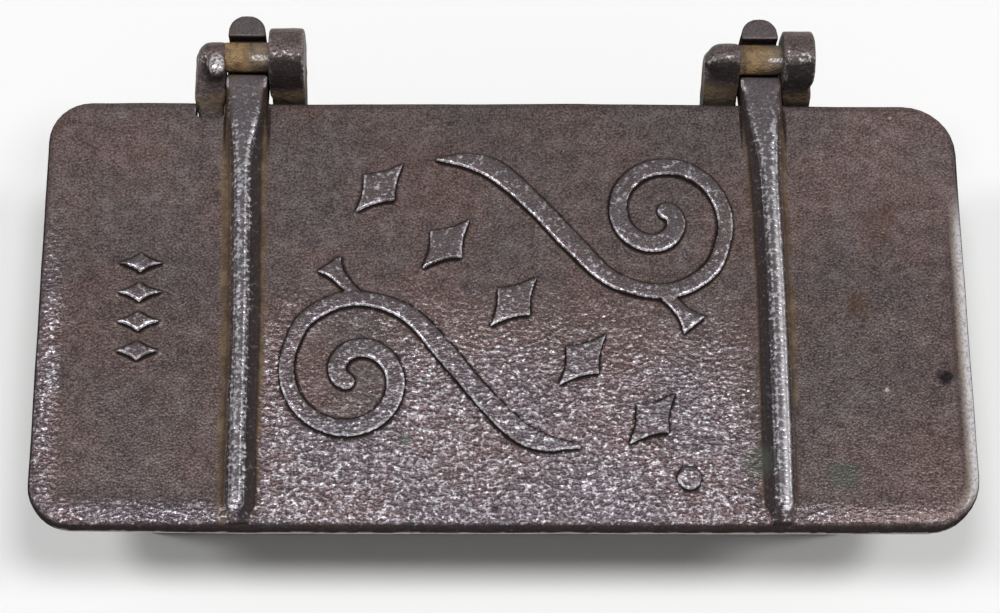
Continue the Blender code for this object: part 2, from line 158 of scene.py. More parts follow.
def spread(values, edges, passes):
    """Averages values with those of their neighbours, as often as passes says."""
    values = np.array(values, float)
    flat = values.reshape(len(values), -1)
    count = np.bincount(edges.ravel(), minlength=len(flat)) + 1
    first, second = edges[:, 0], edges[:, 1]
    for _ in range(passes):
        total = flat.copy()
        for column in range(flat.shape[1]):
            line = flat[:, column]
            total[:, column] += np.bincount(first, line[second], len(flat))
            total[:, column] += np.bincount(second, line[first], len(flat))
        flat = total / count[:, None]
    return flat.reshape(values.shape)


def step(values, low, high):
    """Smooth rise from 0 at low to 1 at high."""
    share = np.clip((values - low) / (high - low), 0, 1)
    return share * share * (3 - 2 * share)


def keep(mesh, name, values):
    """Stores values on the vertices for the materials to read."""
    attribute = mesh.attributes.new(name, 'FLOAT', 'POINT')
    attribute.data.foreach_set("value", np.asarray(values, np.float32))


def keep_wear(mesh, fine, broad, depth, wear_and_highlight=1.0):
    """Stores how far each point stands out of, or lies below, its near and wider surroundings."""
    points = points_of(mesh)
    normals = normals_of(mesh)
    edges = edges_of(mesh)
    near = spread(points, edges, fine)
    wide = spread(near, edges, broad)
    proud = ((points - near) * normals).sum(1) / depth
    keep(mesh, "edge", np.clip(proud, 0, 1) * wear_and_highlight)
    keep(mesh, "recess", np.clip(-proud, 0, 1))
    keep(mesh, "hollow", np.clip(-((points - wide) * normals).sum(1) / (3 * depth), 0, 1))


def roughen(thing, name, size, height, depth=2, group=""):
    """Uneven cast surface: soft lumps of a size and height, on a vertex group or all over."""
    texture = bpy.data.textures.new(name, 'CLOUDS')
    texture.noise_scale = size
    texture.noise_depth = depth
    lumps = thing.modifiers.new(name, 'DISPLACE')
    lumps.texture = texture
    lumps.texture_coords = 'LOCAL'
    lumps.strength = height
    lumps.mid_level = 0.5
    lumps.vertex_group = group


def weigh(thing, name, weights):
    """Vertex group from an array of weights, in 40 levels."""
    group = thing.vertex_groups.new(name=name)
    levels = np.round(np.clip(weights, 0, 1) * 40).astype(int)
    for level in range(1, 41):
        members = np.nonzero(levels == level)[0]
        if len(members):
            group.add(members.tolist(), level / 40, 'REPLACE')


def thin_out(thing, triangles):
    """Reduces a mesh to about a number of triangles and shades it smooth."""
    mesh = thing.data
    mesh.calc_loop_triangles()
    ratio = triangles / len(mesh.loop_triangles)
    if ratio < 1:
        reduce = thing.modifiers.new("fewer faces", 'DECIMATE')
        reduce.ratio = ratio
        settle(thing)
    thing.data.polygons.foreach_set("use_smooth", [True] * len(thing.data.polygons))
    thing.data.update()


def finish_piece(thing, body, nodes, material):
    """Hands a piece to its CAD body, node, slot and material."""
    thing.data.materials.clear()
    thing.data.materials.append(material)
    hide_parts(*nodes)
    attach(thing, body)


# Material helpers

def add(tree, kind, feeds=(), **settings):
    """Adds a node, sets its properties and fills its inputs with values or other nodes' sockets."""
    node = tree.nodes.new(kind)
    for key, value in settings.items():
        setattr(node, key, value)
    for key, value in dict(feeds).items():
        if isinstance(value, bpy.types.NodeSocket):
            tree.links.new(value, node.inputs[key])
        else:
            node.inputs[key].default_value = value
    return node


def math_node(tree, operation, first, second=0.0, clamp=False):
    feeds = {0: first, 1: second}
    return add(tree, 'ShaderNodeMath', feeds, operation=operation, use_clamp=clamp).outputs[0]


def times(tree, first, second):
    return math_node(tree, 'MULTIPLY', first, second)


def plus(tree, first, second):
    return math_node(tree, 'ADD', first, second)


def remap(tree, value, low, high, start=0.0, end=1.0):
    """Smooth step of a value from low and high to start and end."""
    feeds = {"Value": value, "From Min": low, "From Max": high, "To Min": start, "To Max": end}
    return add(tree, 'ShaderNodeMapRange', feeds, interpolation_type='SMOOTHSTEP').outputs["Result"]


def noise(tree, place, scale, detail=2.0, roughness=0.5):
    feeds = {"Vector": place, "Scale": scale, "Detail": detail, "Roughness": roughness}
    return add(tree, 'ShaderNodeTexNoise', feeds).outputs["Fac"]


def blend(tree, share, first, second, mode='MIX'):
    """Colour between first and second."""
    node = add(tree, 'ShaderNodeMix', data_type='RGBA', blend_type=mode)
    for key, value in ((0, share), (6, first), (7, second)):
        if isinstance(value, bpy.types.NodeSocket):
            tree.links.new(value, node.inputs[key])
        elif key:
            node.inputs[key].default_value = (*value, 1)
        else:
            node.inputs[key].default_value = value
    return node.outputs[2]


def attribute(tree, name):
    return add(tree, 'ShaderNodeAttribute', attribute_name=name).outputs["Fac"]


def new_group(name, inputs, outputs):
    """An empty node group with named sockets, and its input and output nodes."""
    tree = bpy.data.node_groups.new(name, 'ShaderNodeTree')
    for label, kind, default in inputs:
        socket = tree.interface.new_socket(label, in_out='INPUT', socket_type=kind)
        if default is not None:
            socket.default_value = default
    for label, kind in outputs:
        tree.interface.new_socket(label, in_out='OUTPUT', socket_type=kind)
    return tree, tree.nodes.new('NodeGroupInput').outputs, tree.nodes.new('NodeGroupOutput').inputs


def use_group(tree, name, feeds):
    node = tree.nodes.new('ShaderNodeGroup')
    node.node_tree = bpy.data.node_groups[name]
    for key, value in feeds.items():
        if isinstance(value, bpy.types.NodeSocket):
            tree.links.new(value, node.inputs[key])
        elif isinstance(value, tuple) and len(value) == 3 and node.inputs[key].type == 'RGBA':
            node.inputs[key].default_value = (*value, 1)
        else:
            node.inputs[key].default_value = value
    return node.outputs


VALUE = 'NodeSocketFloat'
COLOUR = 'NodeSocketColor'
PLACE = 'NodeSocketVector'


# How the lumps are drawn out along the lid
GRAIN_STRETCH = (0.85, 1.25, 1.0)


def grain_group():
    """Sand-cast grain: rounded lumps, fine grit and a few pits, and a mask of small bright specks, painted
    glints on the lump tops.
    """
    tree, given, made = new_group(
        "sand grain",
        [("Place", PLACE, None), ("Lumps", VALUE, 1.0), ("Grit", VALUE, 0.4), ("Rubbed", VALUE, 0.2)],
        [("Height", VALUE), ("Specks", VALUE)])
    warp = add(tree, 'ShaderNodeTexNoise', {"Vector": given["Place"], "Scale": 240.0, "Detail": 1.0})
    shift = add(tree, 'ShaderNodeVectorMath', {0: warp.outputs["Color"], 1: (0.0011, 0.0011, 0.0011)},
                operation='MULTIPLY').outputs[0]
    place = add(tree, 'ShaderNodeVectorMath', {0: given["Place"], 1: shift}, operation='ADD').outputs[0]
    place = add(tree, 'ShaderNodeVectorMath', {0: place, 1: GRAIN_STRETCH}, operation='MULTIPLY').outputs[0]
    lumps = noise(tree, place, 660.0, 1.5, 0.45)
    grit = noise(tree, given["Place"], 1500.0, 1.0, 0.5)
    cells = add(tree, 'ShaderNodeTexVoronoi', {"Vector": place, "Scale": 420.0}).outputs["Distance"]
    pits = remap(tree, cells, 0.02, 0.16, 1.0, 0.0)
    some = remap(tree, noise(tree, given["Place"], 130.0), 0.52, 0.68)
    pits = times(tree, pits, some)
    height = times(tree, lumps, given["Lumps"])
    height = plus(tree, height, times(tree, grit, given["Grit"]))
    height = math_node(tree, 'SUBTRACT', height, times(tree, pits, 0.3))
    tree.links.new(height, made["Height"])
    # Painted glints: small bright specks on the lump tops, more of them where the glint input is higher.
    fine = times(tree, noise(tree, given["Place"], 1150.0, 1.0, 0.5), 0.5)
    proud = plus(tree, fine, times(tree, lumps, 0.5))
    proud = plus(tree, proud, times(tree, given["Rubbed"], 0.08))
    share = remap(tree, given["Rubbed"], 0.0, 0.4, 0.06, 0.8)
    specks = times(tree, remap(tree, proud, 0.55, 0.74), share)
    tree.links.new(specks, made["Specks"])


def mottle_group():
    """Uneven tone of handled iron: three colours in soft clouds and small flecks."""
    tree, given, made = new_group(
        "iron mottle",
        [("Place", PLACE, None), ("Dark", COLOUR, None), ("Warm", COLOUR, None), ("Cool", COLOUR, None)],
        [("Color", COLOUR), ("Tone", VALUE)])
    clouds = noise(tree, given["Place"], 26.0, 4.0, 0.6)
    flecks = noise(tree, given["Place"], 210.0, 4.0, 0.65)
    specks = noise(tree, given["Place"], 1500.0, 2.0, 0.6)
    colour = blend(tree, remap(tree, clouds, 0.4, 0.62), given["Dark"], given["Warm"])
    cool = times(tree, remap(tree, flecks, 0.48, 0.68), 0.35)
    colour = blend(tree, cool, colour, given["Cool"])
    tone = plus(tree, times(tree, flecks, 0.3), times(tree, specks, 0.8))
    shade = remap(tree, tone, 0.36, 0.74, 0.52, 1.52)
    grey = add(tree, 'ShaderNodeCombineColor', {"Red": shade, "Green": shade, "Blue": shade}).outputs[0]
    tree.links.new(blend(tree, 1.0, colour, grey, 'MULTIPLY'), made["Color"])
    tree.links.new(tone, made["Tone"])


def wear_group():
    """Edges rubbed bright by handling, broken up by the grain."""
    tree, given, made = new_group(
        "edge wear",
        [("Place", PLACE, None), ("Edge", VALUE, 0.0), ("Amount", VALUE, 1.0)],
        [("Mask", VALUE)])
    broken = noise(tree, given["Place"], 520.0, 3.0, 0.65)
    patches = noise(tree, given["Place"], 45.0, 2.0)
    worn = times(tree, given["Edge"], given["Amount"])
    worn = times(tree, worn, remap(tree, patches, 0.3, 0.62, 0.35, 1.25))
    worn = plus(tree, worn, times(tree, broken, 0.55))
    grains = remap(tree, noise(tree, given["Place"], 1150.0, 1.0), 0.4, 0.56, 0.3, 1.0)
    tree.links.new(times(tree, remap(tree, worn, 0.7, 1.2), grains), made["Mask"])


def rust_group():
    """Brown rust that settles in recesses, with an ochre powder over it."""
    tree, given, made = new_group(
        "recess rust",
        [("Place", PLACE, None), ("Recess", VALUE, 0.0), ("Brown", COLOUR, None), ("Ochre", COLOUR, None)],
        [("Mask", VALUE), ("Color", COLOUR)])
    ragged = noise(tree, given["Place"], 330.0, 4.0, 0.65)
    drift = noise(tree, given["Place"], 60.0, 3.0)
    settled = times(tree, given["Recess"], remap(tree, drift, 0.3, 0.65, 0.5, 1.3))
    mask = remap(tree, plus(tree, settled, times(tree, ragged, 0.5)), 0.38, 0.95)
    tree.links.new(mask, made["Mask"])
    powder = remap(tree, noise(tree, given["Place"], 170.0, 4.0, 0.7), 0.42, 0.66)
    tree.links.new(blend(tree, powder, given["Brown"], given["Ochre"]), made["Color"])


def spot_group():
    """A ragged spot at a place of its own."""
    tree, given, made = new_group(
        "ragged spot",
        [("Place", PLACE, None), ("Centre", PLACE, None), ("Radius", VALUE, 0.003), ("Ragged", VALUE, 0.4)],
        [("Mask", VALUE)])
    away = add(tree, 'ShaderNodeVectorMath', {0: given["Place"], 1: given["Centre"]}, operation='DISTANCE')
    share = math_node(tree, 'DIVIDE', away.outputs["Value"], given["Radius"])
    ragged = times(tree, noise(tree, given["Place"], 420.0, 4.0, 0.7), given["Ragged"])
    tree.links.new(remap(tree, plus(tree, share, ragged), 0.7, 1.3, 1.0, 0.0), made["Mask"])


def make_groups():
    if "sand grain" not in bpy.data.node_groups:
        for build in (grain_group, mottle_group, wear_group, rust_group, spot_group):
            build()


def new_material(name):
    """Material with only its shader, and the tree, shader and place socket."""
    material = bpy.data.materials.new(name)
    material.use_nodes = True
    tree = material.node_tree
    shader = tree.nodes["Principled BSDF"]
    place = add(tree, 'ShaderNodeTexCoord').outputs["Object"]
    return material, tree, shader, place


def raise_grain(tree, shader, height, depth):
    """Feeds the grain's height to the shader as bump."""
    bump = add(tree, 'ShaderNodeBump', {"Strength": 1.0, "Distance": depth, "Height": height})
    tree.links.new(bump.outputs["Normal"], shader.inputs["Normal"])


# Spots on the lid: centre, radius, how ragged, colour, share
LID_SPOTS = (
    ((74.6, -51.5, 84.8), 8.0, 0.8, (0.082, 0.092, 0.074), 0.6),
    ((100.3, -55.4, 84.8), 6.4, 0.6, (0.080, 0.095, 0.075), 0.65),
    ((-29.7, -44.7, 84.8), 2.6, 0.5, (0.080, 0.095, 0.080), 0.7),
    ((132.5, -24.8, 84.4), 4.0, 0.8, (0.014, 0.014, 0.016), 0.92),
    ((114.4, -28.9, 84.8), 0.8, 0.5, (0.55, 0.5, 0.42), 0.8),
    ((120.5, 59.9, 84.6), 0.7, 0.5, (0.5, 0.45, 0.38), 0.8),
    ((126.0, 8.0, 84.8), 3.6, 1.0, (0.16, 0.13, 0.125), 0.55),
    ((107.0, -2.0, 84.8), 9.0, 1.2, (0.105, 0.052, 0.030), 0.5),
    ((116.0, 26.0, 84.8), 14.0, 1.3, (0.100, 0.052, 0.032), 0.45),
    ((-24.5, -27.2, 84.8), 1.2, 0.5, (0.150, 0.190, 0.165), 0.6),
    ((-3.2, -65.8, 84.6), 1.8, 0.6, (0.055, 0.045, 0.055), 0.85),
    ((-124.8, 28.0, 84.8), 2.2, 0.9, (0.200, 0.180, 0.180), 0.4),
)


def lid_material(look):
    """Dark brown iron: grain, mottle, rust beside ribs and scrolls, bright worn edges, old spots, and
    painted shade, glints and sheen.
    """
    material, tree, shader, place = new_material("lid iron")
    crest = attribute(tree, "crest")
    shade = attribute(tree, "shade")
    grain = use_group(tree, "sand grain", {
        "Place": place, "Lumps": attribute(tree, "lumps"), "Grit": remap(tree, crest, 0.0, 1.0, 0.14, 0.08),
        "Rubbed": attribute(tree, "specks")})
    mottle = use_group(tree, "iron mottle", {
        "Place": place, "Dark": tuple(look.iron_dark), "Warm": tuple(look.iron_warm),
        "Cool": tuple(look.iron_cool)})
    # Painted sheen: paler towards the back, on the ends and over the coarse-grained front, with a cooler
    # tint there.
    colour = blend(tree, attribute(tree, "dusty"), mottle["Color"], (1.45, 1.43, 1.43), 'MULTIPLY')
    lumpy = remap(tree, attribute(tree, "lumps"), 0.1, 1.0)
    colour = blend(tree, lumpy, colour, (1.00, 1.03, 1.16), 'MULTIPLY')
    colour = blend(tree, times(tree, crest, 0.6), colour, tuple(look.crest_grey))
    rusty = plus(tree, attribute(tree, "rusty"), attribute(tree, "halo"))
    rust = use_group(tree, "recess rust", {
        "Place": place, "Recess": rusty, "Brown": tuple(look.rust_brown), "Ochre": tuple(look.rust_ochre)})
    colour = blend(tree, times(tree, rust["Mask"], 0.8), colour, rust["Color"])
    # Painted shade: near-black in the recesses.
    deep = times(tree, remap(tree, attribute(tree, "recess"), 0.15, 0.8), 0.75)
    colour = blend(tree, deep, colour, (0.012, 0.009, 0.008))
    colour = blend(tree, times(tree, attribute(tree, "raised"), 0.4), colour, (0.120, 0.114, 0.128))
    # Painted shade on steep sides, rib flanks and the front wall.
    colour = blend(tree, times(tree, shade, 0.9), colour, tuple(look.shaded_side))
    worn = use_group(tree, "edge wear", {
        "Place": place, "Edge": attribute(tree, "edge"), "Amount": look.edge_wear})["Mask"]
    # Painted glints join the worn edges in the same bright colour.
    worn = math_node(tree, 'MAXIMUM', worn, grain["Specks"])
    colour = blend(tree, worn, colour, tuple(look.worn_and_glint_metal))
    # The rim mask: the right rim band, part rubbed bare and part painted highlight, a pale line along the
    # lip, and painted glints on the right rib's crest.
    bare = remap(tree, noise(tree, place, 1100.0, 2.0, 0.6), 0.36, 0.56, 0.55, 1.0)
    rim = times(tree, attribute(tree, "rim"), bare)
    colour = blend(tree, rim, colour, tuple(look.bare_and_glint_metal))
    for centre, radius, ragged, tint, share in LID_SPOTS:
        spot = use_group(tree, "ragged spot", {
            "Place": place, "Centre": tuple(c * MM for c in centre), "Radius": radius * MM,
            "Ragged": ragged})
        colour = blend(tree, times(tree, spot["Mask"], share), colour, tint)
    tree.links.new(colour, shader.inputs["Base Color"])
    dull = math_node(tree, 'MAXIMUM', times(tree, shade, 0.5), times(tree, rim, 0.35))
    metal = math_node(tree, 'SUBTRACT', 0.5, dull, True)
    tree.links.new(metal, shader.inputs["Metallic"])
    rough = plus(tree, remap(tree, mottle["Tone"], 0.3, 0.8, 0.27, 0.35),
                      times(tree, rust["Mask"], 0.2))
    rough = plus(tree, rough, times(tree, shade, 0.25))
    rough = math_node(tree, 'SUBTRACT', rough, times(tree, worn, 0.06), True)
    tree.links.new(rough, shader.inputs["Roughness"])
    shader.inputs["Specular IOR Level"].default_value = 0.0
    raise_grain(tree, shader, grain["Height"], look.grain_depth)
    return material


def box_material(look):
    """The same iron, rustier and duller on the unpolished tub and its inside, with painted shade and glints
    on the ears.
    """
    material, tree, shader, place = new_material("box iron")
    grain = use_group(tree, "sand grain", {
        "Place": place, "Lumps": 0.5, "Grit": 0.2, "Rubbed": attribute(tree, "specks")})
    mottle = use_group(tree, "iron mottle", {
        "Place": place, "Dark": tuple(look.iron_dark), "Warm": tuple(look.iron_warm),
        "Cool": tuple(look.iron_cool)})
    settled = plus(tree, attribute(tree, "rusty"), times(tree, attribute(tree, "hollow"), 0.6))
    rust = use_group(tree, "recess rust", {
        "Place": place, "Recess": settled, "Brown": tuple(look.rust_brown),
        "Ochre": tuple(look.rust_ochre)})
    colour = blend(tree, times(tree, rust["Mask"], 0.85), mottle["Color"], rust["Color"])
    deep = times(tree, remap(tree, attribute(tree, "recess"), 0.2, 0.9), 0.6)
    colour = blend(tree, deep, colour, (0.014, 0.010, 0.008))
    # Painted shade on the ears' front faces and beneath them.
    colour = blend(tree, attribute(tree, "shade"), colour, tuple(look.shaded_side))
    worn = use_group(tree, "edge wear", {
        "Place": place, "Edge": attribute(tree, "edge"), "Amount": 0.45 * look.edge_wear})["Mask"]
    pitted = remap(tree, noise(tree, place, 900.0, 2.0, 0.6), 0.4, 0.55, 0.1, 1.0)
    rubbed = math_node(tree, 'MAXIMUM', worn, times(tree, attribute(tree, "rubbed"), pitted))
    # Painted glints across the ears join the rubbed metal.
    rubbed = math_node(tree, 'MAXIMUM', rubbed, grain["Specks"])
    colour = blend(tree, rubbed, colour, tuple(look.bare_and_glint_metal))
    tree.links.new(colour, shader.inputs["Base Color"])
    tree.links.new(remap(tree, rubbed, 0.0, 1.0, 0.35, 0.4), shader.inputs["Metallic"])
    shader.inputs["Specular IOR Level"].default_value = 0.2
    rough = plus(tree, remap(tree, mottle["Tone"], 0.3, 0.8, 0.38, 0.54),
                      times(tree, rust["Mask"], 0.25))
    rough = math_node(tree, 'SUBTRACT', rough, times(tree, rubbed, 0.18), True)
    tree.links.new(rough, shader.inputs["Roughness"])
    raise_grain(tree, shader, grain["Height"], look.grain_depth)
    return material


def bar_material(look):
    """Hinge bar: ochre rust with dark bands, a painted highlight streak and painted shade underneath."""
    material, tree, shader, place = new_material("bar rust")
    grain = use_group(tree, "sand grain", {"Place": place, "Lumps": 0.4, "Grit": 0.7})
    drift = noise(tree, place, 190.0, 4.0, 0.65)
    colour = blend(tree, remap(tree, drift, 0.4, 0.64), tuple(look.bar_ochre), tuple(look.bar_brown))
    banded = add(tree, 'ShaderNodeMapping', {"Vector": place, "Scale": (420.0, 60.0, 60.0)}).outputs[0]
    bands = noise(tree, banded, 1.0, 3.0)
    colour = blend(tree, times(tree, remap(tree, bands, 0.52, 0.72), 0.7), colour, (0.045, 0.028, 0.018))
    colour = blend(tree, times(tree, attribute(tree, "grey"), 0.6), colour, (0.190, 0.165, 0.135))
    # Painted shade under the bar's right part.
    colour = blend(tree, times(tree, attribute(tree, "shade"), 0.75), colour, (0.050, 0.034, 0.024))
    # The painted highlight streak, broken up like a worn edge, in the bare metal colour.
    worn = use_group(tree, "edge wear", {
        "Place": place, "Edge": attribute(tree, "rubbed"), "Amount": 1.2})["Mask"]
    colour = blend(tree, times(tree, worn, 0.8), colour, tuple(look.bare_and_glint_metal))
    tree.links.new(colour, shader.inputs["Base Color"])
    tree.links.new(remap(tree, worn, 0.0, 1.0, 0.1, 0.4), shader.inputs["Metallic"])
    tree.links.new(remap(tree, worn, 0.0, 1.0, 0.55, 0.3), shader.inputs["Roughness"])
    raise_grain(tree, shader, grain["Height"], look.grain_depth)
    return material


# Settings

class CastIronLook(bpy.types.PropertyGroup):
    """Colours and wear of the iron"""
    iron_dark: FloatVectorProperty(
        name="Dark iron", description="Main tone of the iron",
        subtype='COLOR', default=(0.112, 0.089, 0.087))
    iron_warm: FloatVectorProperty(
        name="Warm iron", description="Redder clouds in the iron",
        subtype='COLOR', default=(0.127, 0.088, 0.080))
    iron_cool: FloatVectorProperty(
        name="Cool iron", description="Greyer flecks in the iron",
        subtype='COLOR', default=(0.138, 0.122, 0.128))
    # Colour of edges rubbed bright and of the painted glints.
    worn_and_glint_metal: FloatVectorProperty(
        name="Worn metal", description="Edges rubbed bright", subtype='COLOR', default=(0.68, 0.65, 0.70))
    # Colour of metal rubbed bare, also of the painted highlights on the rim, the bar streak and the ears'
    # glints.
    bare_and_glint_metal: FloatVectorProperty(
        name="Bare rim", description="Metal rubbed bare on the rim and hinges",
        subtype='COLOR', default=(0.70, 0.67, 0.68))
    crest_grey: FloatVectorProperty(
        name="Crest grey", description="Smooth tops of ribs and arms",
        subtype='COLOR', default=(0.172, 0.165, 0.172))
    # Colour of the painted shade on steep sides, rib flanks and under edges.
    shaded_side: FloatVectorProperty(
        name="Shaded side", description="Grime on steep sides and under edges",
        subtype='COLOR', default=(0.020, 0.015, 0.015))
    rust_brown: FloatVectorProperty(
        name="Brown rust", description="Rust in recesses", subtype='COLOR', default=(0.098, 0.064, 0.040))
    rust_ochre: FloatVectorProperty(
        name="Ochre rust", description="Powdery rust over the brown",
        subtype='COLOR', default=(0.185, 0.130, 0.075))
    bar_ochre: FloatVectorProperty(
        name="Bar ochre", description="Light rust of the hinge bars",
        subtype='COLOR', default=(0.300, 0.190, 0.088))
    bar_brown: FloatVectorProperty(
        name="Bar brown", description="Dark rust of the hinge bars",
        subtype='COLOR', default=(0.140, 0.088, 0.048))
    edge_wear: FloatProperty(
        name="Edge wear", description="How far edges are rubbed bright",
        subtype='FACTOR', min=0, max=2, default=1.0)
    grain_depth: FloatProperty(
        name="Grain depth", description="Depth of the sand grain",
        subtype='DISTANCE', unit='LENGTH', default=0.75 * MM, precision=5)


class CastShape(bpy.types.PropertyGroup):
    """Fineness and unevenness of the castings"""
    lid_voxel: FloatProperty(
        name="Lid fineness", description="Cell size of the lid's skin",
        subtype='DISTANCE', unit='LENGTH', default=0.4 * MM, precision=5)
    box_voxel: FloatProperty(
        name="Box fineness", description="Cell size of the box's skin",
        subtype='DISTANCE', unit='LENGTH', default=0.8 * MM, precision=5)
    bar_voxel: FloatProperty(
        name="Bar fineness", description="Cell size of the bars' skin",
        subtype='DISTANCE', unit='LENGTH', default=0.3 * MM, precision=5)
    crown: FloatProperty(
        name="Crown", description="How far raised tops fall away at their edges",
        subtype='DISTANCE', unit='LENGTH', default=0.35 * MM, precision=5)
    arm_round: FloatProperty(
        name="Arm round", description="Radius of the arms' shoulders",
        subtype='DISTANCE', unit='LENGTH', default=2.4 * MM, precision=5)
    slump: FloatProperty(
        name="Edge slump", description="How far the lid falls away at its edges",
        subtype='DISTANCE', unit='LENGTH', default=0.7 * MM, precision=5)
    lump_height: FloatProperty(
        name="Lump height", description="Height of the cast lumps on the lid",
        subtype='DISTANCE', unit='LENGTH', default=0.22 * MM, precision=5)
    triangles: IntProperty(name="Triangles", description="Most triangles of a casting", default=190000)


class StageSettings(bpy.types.PropertyGroup):
    """Floor, light and camera"""
    floor_colour: FloatVectorProperty(
        name="Floor", description="Colour of the floor", subtype='COLOR', default=(0.95, 0.955, 0.95))
    walls: FloatProperty(name="Walls", description="Brightness of the room near the horizon", default=0.4)
    ceiling: FloatProperty(name="Ceiling", description="Brightness of the room overhead", default=0.21)
    lamps: FloatProperty(name="Lamps", description="Strength of each lamp overhead", default=0.85)
    side_lamps: FloatProperty(
        name="Side lamps", description="Strength of each lamp further out", default=0.5)
    lamp_spread: FloatProperty(
        name="Lamp spread", description="How wide a lamp looks from the box",
        subtype='ANGLE', unit='ROTATION', default=math.radians(9))
    elevation: FloatProperty(
        name="Elevation", description="Camera height above the horizon",
        subtype='ANGLE', unit='ROTATION', default=math.radians(70.59))
    turn: FloatProperty(
        name="Turn", description="Camera turn about the upright",
        subtype='ANGLE', unit='ROTATION', default=math.radians(-3.98))
    roll: FloatProperty(
        name="Roll", description="Camera roll about its own line of sight",
        subtype='ANGLE', unit='ROTATION', default=math.radians(3.93))
    distance: FloatProperty(
        name="Distance", description="From the camera to the middle of the lid",
        subtype='DISTANCE', unit='LENGTH', default=722.6 * MM)
    aim: FloatVectorProperty(
        name="Aim", description="Point in the middle of the picture", subtype='XYZ',
        unit='LENGTH', default=(-1.42 * MM, -2.78 * MM, LID_TOP))
    lens: FloatProperty(name="Lens", description="Focal length in millimetres", default=86.15)


# Pieces

